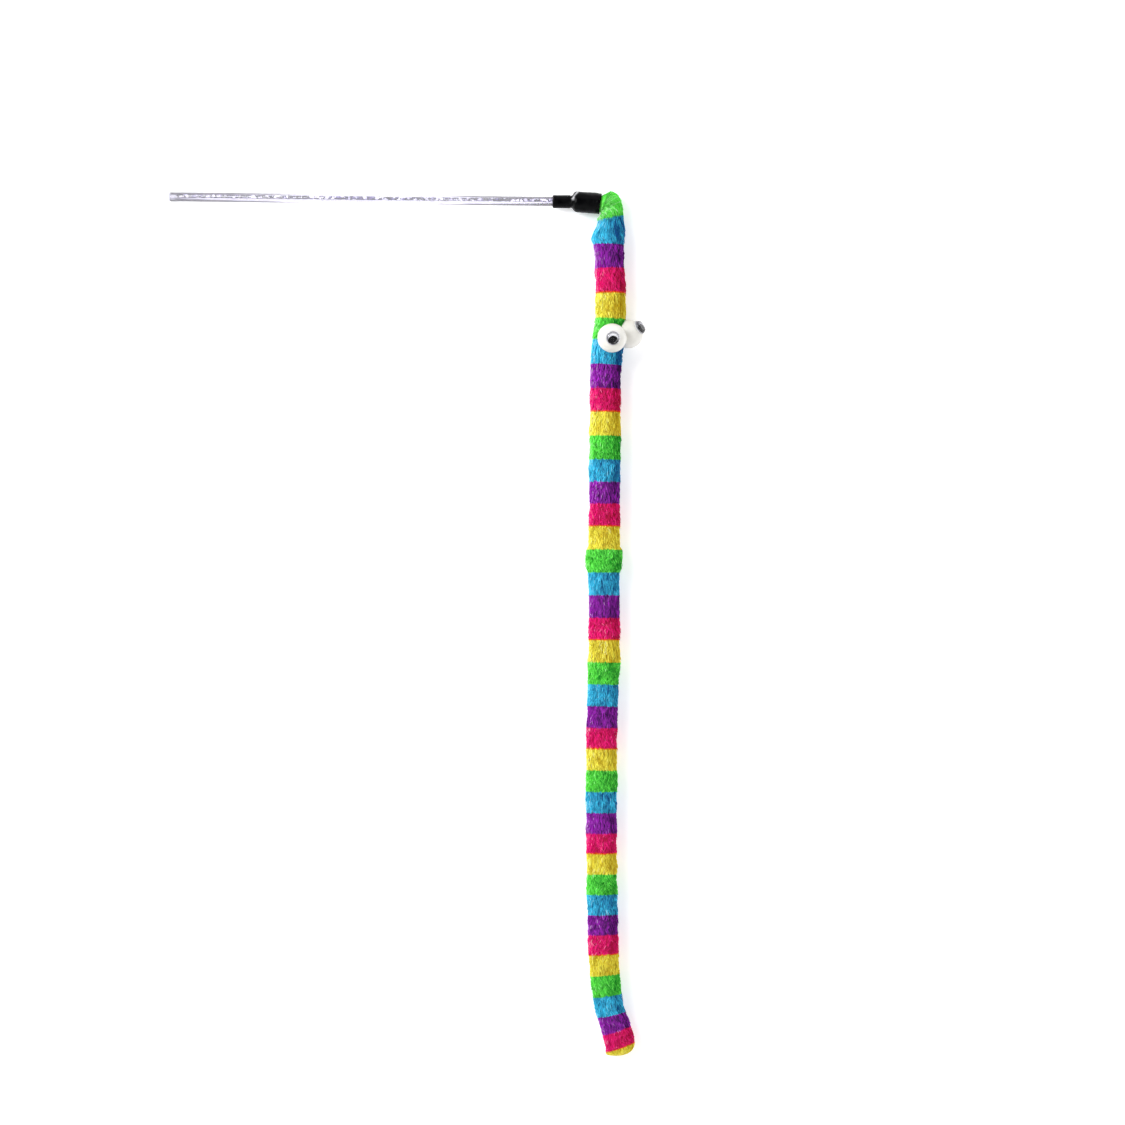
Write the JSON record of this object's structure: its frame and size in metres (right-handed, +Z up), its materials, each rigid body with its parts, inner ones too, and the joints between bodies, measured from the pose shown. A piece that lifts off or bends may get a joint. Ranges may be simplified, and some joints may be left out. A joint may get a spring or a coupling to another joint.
{
  "type": "cat teaser wand",
  "caption": "Cat teaser wand: a clear rod with a glitter film inside, a black end sleeve and a long striped plush tail that bends freely, with two bulging white eyes that hold loose pupils.",
  "frame": {"origin": "middle of the wand's footprint, on the surface that it lies on", "axes": "+X along the rod from the grip end to the sleeve, -Y along the tail from the sleeve to its tip, +Z up from the surface"},
  "size_m": [0.358, 0.649, 0.0421],
  "materials": {
    "clear_plastic": "clear, glossy plastic tube",
    "glitter_film": "crinkled holographic glitter film",
    "black_sleeve": "glossy black shrunk vinyl",
    "plush": "short-pile plush in repeating green, blue, purple, pink and yellow bands",
    "filling": "white cotton cord",
    "thread": "waxed thread",
    "eye_white": "smooth white, slightly translucent plastic",
    "eye_backing": "white card",
    "eye_dome": "clear formed plastic",
    "pupil": "glossy black disc"
  },
  "bodies": {
    "wand": {"rod_tube": "clear_plastic", "grip_plug": "clear_plastic", "rod_tip_plug": "clear_plastic", "glitter_film": "glitter_film", "end_sleeve": "black_sleeve", "gathered_end": "plush", "binding_thread": "thread"},
    "neck": {"neck_plush": "plush"},
    "tail_01": {"tail_plush_01": "plush", "tail_filling_01": "filling"},
    "tail_02": {"tail_plush_02": "plush", "tail_filling_02": "filling"},
    "tail_03": {"tail_plush_03": "plush", "tail_filling_03": "filling", "eye_ball_upper": "eye_white", "eye_backing_upper": "eye_backing", "eye_dome_upper": "eye_dome", "eye_ball_side": "eye_white", "eye_backing_side": "eye_backing", "eye_dome_side": "eye_dome"},
    "tail_04": {"tail_plush_04": "plush", "tail_filling_04": "filling"},
    "tail_05": {"tail_plush_05": "plush", "tail_filling_05": "filling"},
    "tail_06": {"tail_plush_06": "plush", "tail_filling_06": "filling"},
    "tail_07": {"tail_plush_07": "plush", "tail_filling_07": "filling"},
    "tail_08": {"tail_plush_08": "plush", "tail_filling_08": "filling"},
    "tail_09": {"tail_plush_09": "plush", "tail_filling_09": "filling"},
    "tail_10": {"tail_plush_10": "plush", "tail_filling_10": "filling"},
    "tail_11": {"tail_plush_11": "plush", "tail_filling_11": "filling"},
    "tail_12": {"tail_plush_12": "plush", "tail_filling_12": "filling"},
    "tail_13": {"tail_plush_13": "plush", "tail_filling_13": "filling"},
    "tail_14": {"tail_plush_14": "plush", "tail_filling_14": "filling"},
    "tail_15": {"tail_plush_15": "plush", "tail_filling_15": "filling"},
    "tail_16": {"tail_plush_16": "plush", "tail_filling_16": "filling"},
    "tail_17": {"tail_plush_17": "plush", "tail_filling_17": "filling"},
    "tail_18": {"tail_plush_18": "plush", "tail_filling_18": "filling"},
    "tail_19": {"tail_plush_19": "plush", "tail_filling_19": "filling"},
    "pupil_upper": {"eye_pupil_upper": "pupil"},
    "pupil_side": {"eye_pupil_side": "pupil"}
  },
  "joints": [
    {"name": "neck_swing", "type": "hinge", "parent": "wand", "child": "neck", "pos_m": [0.156, 0.31535, 0.00804], "axis": [0, 0, 1], "range_deg": [-8, 60]},
    {"name": "tail_lift_01", "type": "hinge", "parent": "neck", "child": "tail_01", "pos_m": [0.1531, 0.30445, 0.00883], "axis": [-0.9996, 0.0298, 0], "range_deg": [-35, 35]},
    {"name": "tail_swing_02", "type": "hinge", "parent": "tail_01", "child": "tail_02", "pos_m": [0.15201, 0.26785, 0.01128], "axis": [0, 0, 1], "range_deg": [-35, 35]},
    {"name": "tail_lift_03", "type": "hinge", "parent": "tail_02", "child": "tail_03", "pos_m": [0.15285, 0.23161, 0.01128], "axis": [-0.9955, 0.0946, 0], "range_deg": [-35, 35]},
    {"name": "tail_swing_04", "type": "hinge", "parent": "tail_03", "child": "tail_04", "pos_m": [0.14946, 0.19595, 0.01128], "axis": [0, 0, 1], "range_deg": [-35, 35]},
    {"name": "tail_lift_05", "type": "hinge", "parent": "tail_04", "child": "tail_05", "pos_m": [0.14887, 0.16051, 0.01128], "axis": [-1, 0.0085, 0], "range_deg": [-35, 35]},
    {"name": "tail_swing_06", "type": "hinge", "parent": "tail_05", "child": "tail_06", "pos_m": [0.14858, 0.12547, 0.01128], "axis": [0, 0, 1], "range_deg": [-35, 35]},
    {"name": "tail_lift_07", "type": "hinge", "parent": "tail_06", "child": "tail_07", "pos_m": [0.14821, 0.09083, 0.01128], "axis": [-1, 0.0076, 0], "range_deg": [-35, 35]},
    {"name": "tail_swing_08", "type": "hinge", "parent": "tail_07", "child": "tail_08", "pos_m": [0.14796, 0.0566, 0.01128], "axis": [0, 0, 1], "range_deg": [-35, 35]},
    {"name": "tail_lift_09", "type": "hinge", "parent": "tail_08", "child": "tail_09", "pos_m": [0.14791, 0.02277, 0.01128], "axis": [-1, -0.0037, 0], "range_deg": [-35, 35]},
    {"name": "tail_swing_10", "type": "hinge", "parent": "tail_09", "child": "tail_10", "pos_m": [0.14803, -0.01066, 0.01128], "axis": [0, 0, -1], "range_deg": [-35, 35]},
    {"name": "tail_lift_11", "type": "hinge", "parent": "tail_10", "child": "tail_11", "pos_m": [0.14755, -0.04368, 0.01128], "axis": [-0.9994, 0.0358, 0], "range_deg": [-35, 35]},
    {"name": "tail_swing_12", "type": "hinge", "parent": "tail_11", "child": "tail_12", "pos_m": [0.14638, -0.07628, 0.01128], "axis": [0, 0, -1], "range_deg": [-35, 35]},
    {"name": "tail_lift_13", "type": "hinge", "parent": "tail_12", "child": "tail_13", "pos_m": [0.14596, -0.10849, 0.01128], "axis": [-1, 0.0004, 0], "range_deg": [-35, 35]},
    {"name": "tail_swing_14", "type": "hinge", "parent": "tail_13", "child": "tail_14", "pos_m": [0.14594, -0.1403, 0.01128], "axis": [0, 0, -1], "range_deg": [-35, 35]},
    {"name": "tail_lift_15", "type": "hinge", "parent": "tail_14", "child": "tail_15", "pos_m": [0.14612, -0.17171, 0.01128], "axis": [-0.9999, -0.0143, 0], "range_deg": [-35, 35]},
    {"name": "tail_swing_16", "type": "hinge", "parent": "tail_15", "child": "tail_16", "pos_m": [0.14656, -0.20271, 0.01128], "axis": [0, 0, -1], "range_deg": [-35, 35]},
    {"name": "tail_lift_17", "type": "hinge", "parent": "tail_16", "child": "tail_17", "pos_m": [0.14713, -0.2333, 0.01128], "axis": [-0.9988, -0.0498, 0], "range_deg": [-35, 35]},
    {"name": "tail_swing_18", "type": "hinge", "parent": "tail_17", "child": "tail_18", "pos_m": [0.14863, -0.26345, 0.01128], "axis": [0, 0, -1], "range_deg": [-35, 35]},
    {"name": "tail_lift_19", "type": "hinge", "parent": "tail_18", "child": "tail_19", "pos_m": [0.15328, -0.29282, 0.01128], "axis": [-0.9581, -0.2865, 0], "range_deg": [-35, 35]},
    {"name": "pupil_roll_upper", "type": "hinge", "parent": "tail_03", "child": "pupil_upper", "pos_m": [0.15365, 0.21345, 0.02908], "axis": [0.0598, -0.0499, 0.997], "continuous": true},
    {"name": "pupil_roll_side", "type": "hinge", "parent": "tail_03", "child": "pupil_side", "pos_m": [0.16635, 0.21745, 0.01088], "axis": [0.7816, 0.4509, 0.4309], "continuous": true}
  ]
}
